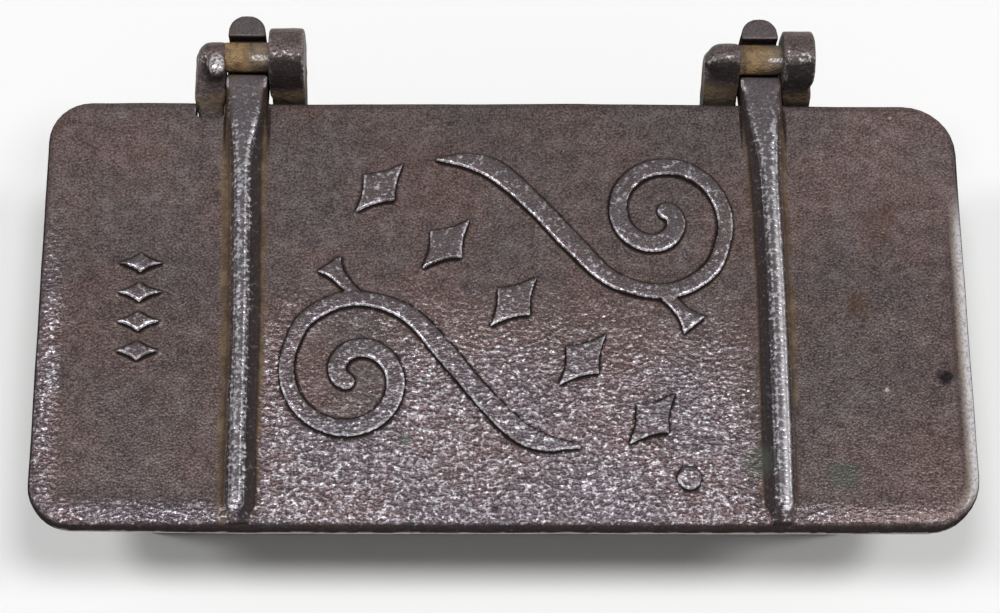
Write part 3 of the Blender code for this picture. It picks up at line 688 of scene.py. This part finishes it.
class TOOLBOX_OT_lid(bpy.types.Operator):
    """Makes the lid's cast skin with its ribs, hooks, scrolls and lozenges"""
    bl_idname = "tool_box.lid"
    bl_label = "Cast lid"

    def execute(self, context):
        shape = context.scene.tool_box_shape
        lid = node_copy("cast_lid", "lid")
        sand_cast_skin(lid, shape.lid_voxel, 2)
        mesh = lid.data
        points = points_of(mesh)
        edges = edges_of(mesh)
        self.crown_tops(points, edges, shape.crown)
        self.round_arms(points, shape.arm_round)
        self.blend_arms(points, edges)
        self.warp(points)
        self.let_edges_slump(points, shape.slump)
        self.sway(points)
        put_points(mesh, points)
        lumpy, between = self.lumps(points)
        weigh(lid, "lumpy", lumpy * step(points[:, 2], LID_UNDER + 2 * MM, LID_UNDER + 4 * MM))
        roughen(lid, "cast lumps", 2.4 * MM, shape.lump_height, 1, "lumpy")
        roughen(lid, "cast waves", 22 * MM, 0.3 * MM)
        settle(lid)
        lid.vertex_groups.clear()
        mesh = lid.data
        keep_wear(mesh, 6, 40, 0.22 * MM, self.wear_and_highlight(points_of(mesh), normals_of(mesh)))
        self.keep_stains(mesh, lumpy, between)
        thin_out(lid, shape.triangles)
        make_groups()
        finish_piece(lid, "lid", ["lid"], lid_material(context.scene.tool_box_look))
        return {'FINISHED'}

    @staticmethod
    def edge_distance(points):
        """Distance in from the lid's rounded outline."""
        corner = np.where(points[:, 0] < 0, LEFT_CORNER, RIGHT_CORNER)
        half = np.array((LID_SIDE, (LID_BACK - LID_FRONT) / 2)) - corner[:, None]
        out = np.abs(points[:, :2] - (0, LID_MIDDLE_Y)) - half
        beyond = np.linalg.norm(np.maximum(out, 0), axis=1) + np.minimum(out.max(1), 0)
        return corner - beyond

    @staticmethod
    def crown_tops(points, edges, drop):
        """Lets the tops of raised work and ribs fall away towards their edges."""
        for level, share, passes in ((LID_TOP + 1 * MM, 1.0, 5), (LID_TOP + 2.7 * MM, 1.8, 12)):
            top = step(points[:, 2], level, level + 0.5 * MM)
            passes = passes
            points[:, 2] -= 2 * share * drop * top * (1 - np.clip(spread(top, edges, passes), 0.5, 1))

    @staticmethod
    def round_arms(points, radius):
        """Rounds the shoulders of the arms between the ribs and the bars."""
        low = LID_TOP - 1 * MM
        y = points[:, 1]
        reach = radius * step(y, 46 * MM, 60 * MM) * (1 - 0.7 * step(y, 65 * MM, 69 * MM))
        reach *= 1 - step(y, AXIS.y - 4 * MM, AXIS.y)
        for bar in (LEFT_BAR, RIGHT_BAR):
            across = np.abs(points[:, 0] - bar.x)
            out = np.clip(across - ARM_HALF + reach, 0, reach) * (across < ARM_HALF + 0.8 * MM)
            fall = (reach - np.sqrt(reach ** 2 - out ** 2)) / (RIB_TOP - low)
            points[:, 2] -= fall * np.maximum(points[:, 2] - low, 0)

    @staticmethod
    def blend_arms(points, edges):
        """Melts the joints of ribs and arms into one smooth flow."""
        soft = spread(points, edges, 24)
        across = np.minimum(np.abs(points[:, 0] - LEFT_BAR.x), np.abs(points[:, 0] - RIGHT_BAR.x))
        share = step(points[:, 1], 50 * MM, 58 * MM) * (1 - step(points[:, 1], 66 * MM, 70 * MM))
        share *= 1 - step(across, 8.5 * MM, 10 * MM)
        share *= step(points[:, 2], LID_TOP - 0.5 * MM, LID_TOP + 0.3 * MM)
        points += share[:, None] * (soft - points)

    @staticmethod
    def warp(points):
        """Draws the outline in a little where the casting isn't straight."""
        x, y = points[:, 0].copy(), points[:, 1].copy()
        points[:, 0] += 0.25 * MM * (1 - step(x, -140 * MM, -110 * MM))
        front = 1 - step(y, -68 * MM, -30 * MM)
        points[:, 1] += 0.7 * MM * front * (1 - step(x, -138 * MM, -70 * MM))
        back = step(y, 30 * MM, 62 * MM)
        bow = np.interp(x, np.array((-140, -110, -60, 20, 70, 110, 140)) * MM,
                        np.array((-0.35, -0.1, -0.35, 0.3, 0.05, -0.35, -0.2)) * MM)
        points[:, 1] += back * bow * (y < LID_BACK + 1 * MM)

    @staticmethod
    def sway(points):
        """Bends the ribs and arms a little off their straight lines and leans the ribs outwards."""
        for bar, line, side, lean in ((LEFT_BAR, LEFT_SWAY, 1, 1.5), (RIGHT_BAR, RIGHT_SWAY, -1, 1.3)):
            along, shift = np.array(line).T * MM
            inward = side * (points[:, 0] - bar.x)
            near = 1 - step(np.abs(inward), 5.5 * MM, 9 * MM)
            top = step(points[:, 2], LID_TOP + 0.2 * MM, RIB_TOP - 0.4 * MM)
            top *= 1 - step(points[:, 1], 42 * MM, 58 * MM)
            top *= step(inward, -1 * MM, 2.2 * MM) * (1 - step(inward, 5.5 * MM, 7 * MM))
            points[:, 0] += near * np.interp(points[:, 1], along, shift) - side * lean * MM * top

    def let_edges_slump(self, points, slump):
        """Lets the plate fall away gently towards its front and ends, not towards its hinges."""
        inside = self.edge_distance(points)
        share = np.clip(1 - inside / (9 * MM), 0, 1) ** 2
        share *= step(points[:, 2], LID_UNDER, LID_TOP - 1 * MM)
        share *= 1 - step(points[:, 1], LID_BACK - 24 * MM, LID_BACK - 8 * MM)
        share *= 0.55 + 0.45 * step(points[:, 0], -100 * MM, 100 * MM)
        points[:, 2] -= slump * share

    @staticmethod
    def lumps(points):
        """Where the sand left the coarsest lumps: between the ribs and along the front edge."""
        x, y = points[:, 0], points[:, 1]
        between = step(x, LEFT_BAR.x + 2 * MM, LEFT_BAR.x + 12 * MM)
        between = between * (1 - step(x, RIGHT_BAR.x - 16 * MM, RIGHT_BAR.x))
        front = (1 - step(y, -56 * MM, 16 * MM)) * (1.08 - 0.2 * step(x, -20 * MM, 50 * MM))
        brink = 1 - step(y, LID_FRONT + 4 * MM, LID_FRONT + 11 * MM)
        brink *= 1 - 0.75 * step(x, 80 * MM, 110 * MM)
        end = (1 - step(x, -LID_SIDE + 4 * MM, -LID_SIDE + 10 * MM)) * (1 - step(y, -20 * MM, 40 * MM))
        calm = 1 - step(np.hypot(x + 49 * MM, y + 23.5 * MM), 13 * MM, 19 * MM)
        lumpy = 0.9 * between * front * (1 - 0.75 * calm) + 0.75 * np.maximum(brink, end)
        return np.clip(lumpy, 0, 1), between

    @staticmethod
    def wear_and_highlight(points, normals):
        """How bright the edges show: little rubbing on hook tips and the front wall, and less painted
        highlight on edges turned back than on those facing front.
        """
        tips = step(points[:, 1], 76 * MM, 80 * MM)
        wall = 1 - step(points[:, 1], LID_FRONT + 1 * MM, LID_FRONT + 2.5 * MM)
        return (1 - 0.9 * np.maximum(tips, wall)) * (1 - 0.7 * step(normals[:, 1], 0.02, 0.25))

    def keep_stains(self, mesh, lumpy, between):
        """Stores rust beside raised work, the smooth crests, painted shade on steep sides and the front
        wall, painted glints and sheen, and the rim, part rubbed bare and part painted highlight.
        """
        points = points_of(mesh)
        normals = normals_of(mesh)
        edges = edges_of(mesh)
        x, y, z = points.T
        on_top = z > LID_UNDER
        raised = step(z, LID_TOP + 0.7 * MM, LID_TOP + 1.5 * MM)
        passes = 50
        halo = np.clip(spread(raised, edges, passes) - raised, 0, 1) * 1.6
        # Painted shade on steep sides, and a painted shadow band on and below the walls that face the
        # front.
        steep = step(1 - normals[:, 2], 0.12, 0.4)
        facing = step(-normals[:, 1], 0.3, 0.7) * (z > LID_TOP - 0.5 * MM)
        below = np.clip(1.8 * spread(facing, edges, 3), 0, 1) * (1 - raised)
        steep = np.maximum(steep, below)
        rusty = np.zeros(len(points))
        crest = np.zeros(len(points))
        right_half = np.zeros(len(points))
        for bar, line, side, ochre in ((LEFT_BAR, LEFT_SWAY, 1, 1.0), (RIGHT_BAR, RIGHT_SWAY, -1, 0.4)):
            along, shift = np.array(line).T * MM
            across = x - bar.x - np.interp(y, along, shift)
            inward = side * across
            away = np.abs(inward)
            flank = (away < 9 * MM) * (z > LID_TOP + 0.3 * MM) * (y < AXIS.y)
            # Painted shade: rib flanks that face the middle of the lid dark, the outer flanks a little.
            dark = step(z, LID_TOP + 0.3 * MM, LID_TOP + 0.8 * MM)
            dark = dark * (1 - step(z, RIB_TOP - 1 * MM, RIB_TOP - 0.5 * MM))
            flank_shade = np.where(inward > 0, 0.85 * np.maximum(steep, dark), 0.3 * steep)
            steep = np.where(flank, flank_shade, steep)
            near = step(away, 3.4 * MM, 4.6 * MM) * (1 - step(away, 5.6 * MM, 8.5 * MM))
            back = 0.5 + 0.5 * step(y, -60 * MM, 30 * MM)
            rusty = np.maximum(rusty, near * back * ochre * np.where(inward > 0, 0.45, 1.0))
            crest = np.maximum(crest, (away < 7 * MM) * step(z, RIB_TOP - 1.3 * MM, RIB_TOP - 0.5 * MM))
            middle = -side * 1 * MM
            right_half += (away < 9 * MM) * step(across, middle - 0.8 * MM, middle + 0.8 * MM)
        # Painted glints along the edges of the rib crests, stronger on their right-hand edges.
        flat = crest * step(normals[:, 2], 0.9, 0.97)
        line = spread(flat, edges, 8)
        glitter = 4 * line * (1 - line) * (z > RIB_TOP - 1.5 * MM) * (1 - step(y, 56 * MM, 64 * MM))
        glitter *= 0.6 + 0.4 * right_half
        crest *= 1 - 0.6 * step(y, 50 * MM, 60 * MM)
        behind = step(y, LID_BACK + 5 * MM, LID_BACK + 9 * MM)
        low = 1 - step(z, LID_TOP - 1 * MM, RIB_TOP)
        rusty = np.maximum(rusty, behind * low)
        rusty = np.maximum(rusty, 0.4 * step(-normals[:, 2], 0.3, 0.7))
        inside = self.edge_distance(points)
        # The right rim band: part rubbed bare metal, part painted highlight, with ochre rust inside it.
        right = step(x, 118 * MM, 134 * MM) * step(y, -68 * MM, -56 * MM)
        right = right * (1 - step(y, 16 * MM, 40 * MM)) * on_top
        rim = right * (1 - 0.75 * step(inside, 1.4 * MM, 3.4 * MM))
        rim = rim * (1 - step(inside, 3.4 * MM, 4.4 * MM))
        rim *= step(normals[:, 2], 0.45, 0.7)
        inner_rim = step(inside, 1.5 * MM, 2.8 * MM) * (1 - step(inside, 3.6 * MM, 4.4 * MM))
        rusty = np.maximum(rusty, right * inner_rim)
        # Painted shade: a dark line inside the right rim band.
        rim_shade_line = right * step(inside, 4 * MM, 4.6 * MM) * (1 - step(inside, 5 * MM, 6.4 * MM))
        # Painted shade on the lid's front wall, and a pale line along the lip's bottom edge.
        wall = (1 - step(y, LID_FRONT + 0.9 * MM, LID_FRONT + 2.1 * MM)) * (z > LID_UNDER - 3 * MM)
        lip = wall * (1 - step(z, LID_UNDER - 1.1 * MM, LID_UNDER - 0.6 * MM))
        steep = np.maximum(np.maximum(steep, 0.45 * rim_shade_line), 0.95 * wall * (1 - rim)) * (1 - lip)
        # Painted glints along the front-facing edges of the raised work.
        brow = np.clip(2.5 * spread(facing, edges, 8), 0, 1) * raised * (1 - crest)
        # Painted sheen: paler towards the back, on the ends, between the ribs near the front and over the
        # coarse-grained front.
        ends = 0.6 * step(x, 70 * MM, 110 * MM) + 0.35 * step(-x, 70 * MM, 110 * MM)
        dusty = step(y, -5 * MM, 45 * MM) * (0.25 + ends)
        dusty = dusty + 0.25 * between * (1 - step(y, 0, 50 * MM)) + 0.3 * lumpy
        smooth = 1 - 0.7 * np.clip(halo, 0, 1)
        keep(mesh, "raised", raised * step(normals[:, 2], 0.5, 0.9))
        keep(mesh, "halo", halo * on_top)
        keep(mesh, "rusty", rusty)
        keep(mesh, "crest", crest * step(normals[:, 2], 0.6, 0.9))
        keep(mesh, "shade", steep * (z > LID_UNDER - 3 * MM) * step(normals[:, 2], -0.4, -0.1))
        # Painted highlight along the right edge of the right rib's crest, in the rim's bare metal colour.
        gleam = 0.7 * glitter * right_half * (x > 0) * (1 - step(y, 5 * MM, 45 * MM))
        keep(mesh, "rim", np.maximum(np.maximum(rim, 0.6 * lip), gleam))
        keep(mesh, "dusty", dusty)
        coarse = np.maximum((0.03 + 1.6 * lumpy) * smooth * (1 - 0.9 * crest), 0.5 * glitter)
        keep(mesh, "lumps", coarse * (1 - 0.8 * wall))
        # Painted glints: bright specks over the coarse-grained front, the raised work and the crests, none
        # on shaded sides.
        specks = (0.06 * between + 1.0 * lumpy) * smooth * (1 - crest) * (1 - wall)
        specks = np.maximum(specks, 0.35 * raised * (1 - crest) + 0.6 * brow)
        specks = np.maximum(specks, 0.4 * crest + 2.2 * glitter)
        specks = specks * (1 - 0.95 * np.clip(steep, 0, 1))
        keep(mesh, "specks", specks * (1 - 0.8 * step(y, 64 * MM, 72 * MM)))


class TOOLBOX_OT_box(bpy.types.Operator):
    """Makes the cast skin of the tub and its hinge ears"""
    bl_idname = "tool_box.box"
    bl_label = "Cast box"

    def execute(self, context):
        shape = context.scene.tool_box_shape
        box = node_copy("cast_box", "box")
        self.add_boss(box.data)
        sand_cast_skin(box, shape.box_voxel, 3)
        roughen(box, "tub lumps", 3.5 * MM, 0.25 * MM, 1)
        roughen(box, "tub waves", 30 * MM, 0.4 * MM)
        settle(box)
        mesh = box.data
        points = points_of(mesh)
        self.shape_ears(points)
        put_points(mesh, points)
        keep_wear(mesh, 5, 24, 0.3 * MM)
        self.keep_stains(mesh)
        thin_out(box, shape.triangles)
        make_groups()
        finish_piece(box, "box", ["box"], box_material(context.scene.tool_box_look))
        return {'FINISHED'}

    @staticmethod
    def add_boss(mesh):
        """Adds the small rubbed boss on top of the left-most ear."""
        place = Matrix.Translation((-88.9 * MM, 73.3 * MM, AXIS.z + 4.2 * MM))
        size = Matrix.Diagonal((2.4 * MM, 5.2 * MM, 2.2 * MM, 1))
        bm = bmesh.new()
        bm.from_mesh(mesh)
        bmesh.ops.create_icosphere(bm, subdivisions=4, radius=1, matrix=place @ size)
        bm.to_mesh(mesh)
        bm.free()

    @staticmethod
    def shape_ears(points):
        """Draws the ears up to the arms, rounds the plain ears' tops and gives one ear a waist."""
        x, y, z = points.T.copy()
        behind = step(y, LID_BACK - 1 * MM, LID_BACK + 1 * MM)
        for bar, side, shift in EAR_SHIFTS:
            inner = side * (x - bar.x) - EAR_INNER
            beside = step(inner, -1.5 * MM, -0.5 * MM) * (1 - step(inner, 0.5 * MM, 4 * MM))
            upper = 0.5 + 0.5 * step(z, 80.5 * MM, 83 * MM)
            points[:, 0] -= side * shift * MM * beside * behind * upper
        for outer, width, radius, sink in np.array(PLAIN_EARS) * MM:
            inward = np.clip(x - outer, 0, radius)
            drop = np.minimum(radius - np.sqrt(radius ** 2 - (radius - inward) ** 2), 3.4 * MM) + sink
            far = outer + width
            ear = behind * (x > outer - 2 * MM) * (1 - step(x, far - 1 * MM, far + 0.3 * MM))
            share = 1 - drop / (5.2 * MM) * ear * step(z, AXIS.z - 3 * MM, AXIS.z + 0.5 * MM)
            points[:, 1] = AXIS.y + (y - AXIS.y) * share
            points[:, 2] = AXIS.z + (z - AXIS.z) * share
            y, z = points[:, 1].copy(), points[:, 2].copy()
        notch = behind * (1 - step(x, -95 * MM, -92 * MM)) * (1 - step(z, 84 * MM, 87 * MM))
        points[:, 0] -= 0.9 * MM * notch
        seated = (1 - behind) * step(y, 56 * MM, 58 * MM) * step(z, 76 * MM, 78 * MM)
        points[:, 0] -= 0.35 * MM * seated * (1 - step(np.abs(x + 87 * MM), 1 * MM, 2 * MM))
        outer = x - RIGHT_BAR.x - EAR_INNER - EAR_WIDTH
        beside = step(outer, -4 * MM, -0.5 * MM)
        waist = np.exp(-((z - 86.3 * MM) / (2.2 * MM)) ** 2)
        points[:, 0] -= 1.1 * MM * behind * beside * waist

    @staticmethod
    def keep_stains(mesh):
        """Stores the rust at the feet of the ears and inside the tub, the rubbed boss, painted shade on and
        under the ears' front faces, and painted glints across the ears.
        """
        points = points_of(mesh)
        normals = normals_of(mesh)
        behind = step(points[:, 1], LID_BACK - 5 * MM, LID_BACK)
        low = 1 - step(points[:, 2], 83.5 * MM, 87.5 * MM)
        half = (BOX_HIGH.x - BOX_LOW.x) / 2
        outward = normals[:, 0] * points[:, 0] / half
        outward = outward + normals[:, 1] * (points[:, 1] + 3.5 * MM) / (60 * MM)
        floor = step(normals[:, 2], 0.5, 0.8) * step(points[:, 2], 2 * MM, 4 * MM)
        inside = np.maximum(step(-outward, 0.1, 0.4), floor) * step(RIM - points[:, 2], 2 * MM, 30 * MM)
        foot = 1 - step(points[:, 2], 0, 12 * MM)
        roots = behind * low * (points[:, 2] > 70 * MM)
        keep(mesh, "rusty", np.maximum(np.maximum(roots, 0.45 * inside), 0.4 * foot))
        from_boss = points - (-88.8 * MM, 73 * MM, AXIS.z + 6 * MM)
        boss = np.linalg.norm(from_boss / (2.6 * MM, 4.6 * MM, 2 * MM), axis=1)
        keep(mesh, "rubbed", (1 - step(boss, 0.85, 1.15)) * step(points[:, 1], 70.6 * MM, 72.2 * MM))
        # Painted shade on the ears' front faces above their feet, and below the rim's level behind the lid.
        turned = step(-normals[:, 1], 0.2, 0.6) * behind
        under = behind * (1 - step(points[:, 2], RIM, RIM + 2.5 * MM))
        keep(mesh, "shade", np.maximum(0.85 * turned * (1 - low), 0.7 * under))
        # Painted glints in a row across the ears where their faces start to turn to the front.
        brow = np.exp(-((-normals[:, 1] - 0.3) / 0.14) ** 2) * step(points[:, 2], AXIS.z, AXIS.z + 3 * MM)
        keep(mesh, "specks", 0.9 * brow * behind)


class TOOLBOX_OT_bars(bpy.types.Operator):
    """Makes the two rusty hinge bars"""
    bl_idname = "tool_box.bars"
    bl_label = "Hinge bars"

    def execute(self, context):
        shape = context.scene.tool_box_shape
        make_groups()
        material = bar_material(context.scene.tool_box_look)
        for name, node in (("left_bar", "left_hinge_pin"), ("right_bar", "right_hinge_pin")):
            bar = node_copy(name, node)
            sand_cast_skin(bar, shape.bar_voxel, 3)
            roughen(bar, "bar scale", 1.6 * MM, 0.14 * MM, 2)
            settle(bar)
            points = points_of(bar.data)
            along = points[:, 0] - points[:, 0].mean()
            turn = np.arctan2(points[:, 2] - AXIS.z, points[:, 1] - AXIS.y)
            # Painted highlight: a bright streak along the upper front of the bar's right part.
            streak = np.exp(-((turn - math.radians(115)) / 0.2) ** 2) * step(along, -1 * MM, 3 * MM)
            keep(bar.data, "rubbed", streak)
            keep(bar.data, "grey", step(along, -2 * MM, 5 * MM))
            # Painted shade under the bar's right part.
            under = step(np.mod(turn, math.tau), math.radians(130), math.radians(160))
            keep(bar.data, "shade", step(along, 0, 5 * MM) * under)
            thin_out(bar, shape.triangles // 8)
            finish_piece(bar, "box", [node], material)
        return {'FINISHED'}


class TOOLBOX_OT_stage(bpy.types.Operator):
    """Sets the pale floor, the soft lights and the camera"""
    bl_idname = "tool_box.stage"
    bl_label = "Stage"

    def execute(self, context):
        scene = context.scene
        stage = scene.tool_box_stage
        scene.view_settings.view_transform = 'Standard'
        self.lay_floor(scene, stage)
        self.light_world(scene, stage)
        for name, lean, strength in (("left lamp", -0.23, stage.lamps), ("right lamp", 0.23, stage.lamps),
                                     ("far left lamp", -0.65, stage.side_lamps),
                                     ("far right lamp", 0.8, 1.2 * stage.side_lamps)):
            self.hang_light(scene, name, strength, stage.lamp_spread, (lean, -0.06, 1.0))
        self.set_camera(scene, stage)
        return {'FINISHED'}

    @staticmethod
    def lay_floor(scene, stage):
        bm = bmesh.new()
        bmesh.ops.create_circle(bm, cap_ends=True, segments=96, radius=6.0)
        mesh = bpy.data.meshes.new("floor")
        bm.to_mesh(mesh)
        bm.free()
        floor = bpy.data.objects.new("floor", mesh)
        scene.collection.objects.link(floor)
        material, tree, shader, place = new_material("floor paper")
        tint = tuple(stage.floor_colour)
        soft = remap(tree, noise(tree, place, 6.0, 3.0), 0.3, 0.7, 0.0, 0.02)
        tree.links.new(blend(tree, soft, tint, (0.8, 0.8, 0.8)), shader.inputs["Base Color"])
        shader.inputs["Roughness"].default_value = 0.7
        shader.inputs["Specular IOR Level"].default_value = 0.2
        mesh.materials.append(material)

    @staticmethod
    def light_world(scene, stage):
        """Dim room with paler walls low down."""
        world = bpy.data.worlds.new("studio")
        world.use_nodes = True
        tree = world.node_tree
        way = add(tree, 'ShaderNodeTexCoord').outputs["Generated"]
        height = add(tree, 'ShaderNodeSeparateXYZ', {0: way}).outputs["Z"]
        background = tree.nodes["Background"]
        background.inputs["Color"].default_value = (1, 1, 1, 1)
        strength = remap(tree, height, 0.08, 0.3, stage.walls, stage.ceiling)
        tree.links.new(strength, background.inputs["Strength"])
        scene.world = world

    @staticmethod
    def hang_light(scene, name, strength, spread, place):
        """A distant soft lamp that shines from a place towards the box."""
        lamp = bpy.data.lights.new(name, 'SUN')
        lamp.energy = strength
        lamp.angle = spread
        light = bpy.data.objects.new(name, lamp)
        light.location = place
        light.rotation_euler = Vector(place).to_track_quat('Z', 'Y').to_euler()
        scene.collection.objects.link(light)

    @staticmethod
    def set_camera(scene, stage):
        back = Vector((0, -math.cos(stage.elevation), math.sin(stage.elevation)))
        turn = Matrix.Rotation(stage.turn, 3, 'Z')
        back = turn @ back
        right = turn @ Vector((1, 0, 0))
        up = back.cross(right)
        across = math.cos(stage.roll) * right + math.sin(stage.roll) * up
        upright = math.cos(stage.roll) * up - math.sin(stage.roll) * right
        lens = bpy.data.cameras.new("camera")
        lens.lens = stage.lens
        lens.sensor_width = 36
        lens.sensor_fit = 'HORIZONTAL'
        lens.clip_start = 0.01
        camera = bpy.data.objects.new("camera", lens)
        place = Matrix((across, upright, back)).transposed().to_4x4()
        place.translation = Vector(stage.aim) + back * stage.distance
        camera.matrix_world = place
        scene.collection.objects.link(camera)
        scene.camera = camera


class TOOLBOX_PT_panel(bpy.types.Panel):
    """Lists the pieces and their settings"""
    bl_idname = "TOOLBOX_PT_panel"
    bl_label = "Tool Box"
    bl_space_type = 'VIEW_3D'
    bl_region_type = 'UI'
    bl_category = "Tool Box"

    def draw(self, context):
        scene = context.scene
        for operator in (TOOLBOX_OT_stage, TOOLBOX_OT_box, TOOLBOX_OT_lid, TOOLBOX_OT_bars):
            self.layout.operator(operator.bl_idname)
        for settings in (scene.tool_box_look, scene.tool_box_shape, scene.tool_box_stage):
            column = self.layout.box().column()
            for name in settings.__annotations__:
                column.prop(settings, name)


CLASSES = (CastIronLook, CastShape, StageSettings, TOOLBOX_OT_lid, TOOLBOX_OT_box, TOOLBOX_OT_bars,
           TOOLBOX_OT_stage, TOOLBOX_PT_panel)


def register():
    for cls in CLASSES:
        bpy.utils.register_class(cls)
    bpy.types.Scene.tool_box_look = PointerProperty(type=CastIronLook)
    bpy.types.Scene.tool_box_shape = PointerProperty(type=CastShape)
    bpy.types.Scene.tool_box_stage = PointerProperty(type=StageSettings)


def unregister():
    del bpy.types.Scene.tool_box_stage
    del bpy.types.Scene.tool_box_shape
    del bpy.types.Scene.tool_box_look
    for cls in reversed(CLASSES):
        bpy.utils.unregister_class(cls)


def main():
    register()
    bpy.ops.tool_box.stage()
    bpy.ops.tool_box.box()
    bpy.ops.tool_box.lid()
    bpy.ops.tool_box.bars()


if __name__ == "__main__":
    main()
